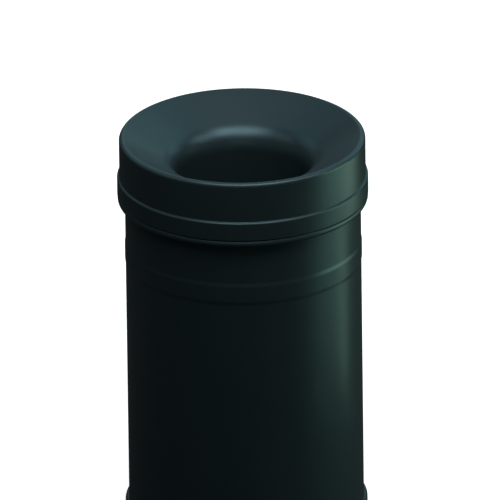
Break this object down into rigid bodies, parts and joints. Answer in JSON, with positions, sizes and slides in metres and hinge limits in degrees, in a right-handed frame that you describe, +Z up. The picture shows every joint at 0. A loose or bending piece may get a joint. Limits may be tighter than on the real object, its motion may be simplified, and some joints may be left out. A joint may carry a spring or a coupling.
{
  "type": "self-extinguishing ash bin",
  "caption": "Round steel ash and litter bin on a plinth hoop, with a lift-off funnel head that smothers fire and a lift-out galvanised liner.",
  "frame": {"origin": "centre of the base on the ground, under the four rubber feet", "axes": "+Z up along the bin's axis, +X to the right seen from the front, +Y to the back where the lock seam and the resting bail are"},
  "size_m": [0.315, 0.315, 0.52],
  "materials": {
    "powder_coat": "satin powder coat, dark green-black",
    "galvanised_steel": "zinc coated, dull spangle",
    "rubber": "matt moulded rubber",
    "grip_sleeve": "matt extruded PVC"
  },
  "bodies": {
    "bin_body": {"body_shell": "powder_coat", "bottom_pan": "powder_coat", "plinth_hoop": "powder_coat", "front_right_foot": "rubber", "back_right_foot": "rubber", "back_left_foot": "rubber", "front_left_foot": "rubber"},
    "head": {"head_shell": "powder_coat", "head_seat_ring": "powder_coat"},
    "liner": {"liner_shell": "galvanised_steel", "liner_rim_wire": "galvanised_steel", "liner_bottom": "galvanised_steel", "liner_foot_hoop": "galvanised_steel", "right_ear": "galvanised_steel", "left_ear": "galvanised_steel", "ear_rivets": "galvanised_steel"},
    "bail": {"bail_wire": "galvanised_steel", "bail_grip": "grip_sleeve"}
  },
  "joints": [
    {"name": "head_lift", "type": "slide", "parent": "bin_body", "child": "head", "axis": [0, 0, 1], "range_m": [0, 0.66]},
    {"name": "liner_lift", "type": "slide", "parent": "bin_body", "child": "liner", "axis": [0, 0, 1], "range_m": [0, 0.44]},
    {"name": "bail_swing", "type": "hinge", "parent": "liner", "child": "bail", "pos_m": [0, 0, 0.38255], "axis": [1, 0, 0], "range_deg": [0, 90]}
  ],
  "couplings": [
    {"joint": "liner_lift", "follows": "head_lift", "ratio": 0.6666},
    {"joint": "bail_swing", "follows": "head_lift", "rad_per_m": 2.3799}
  ]
}
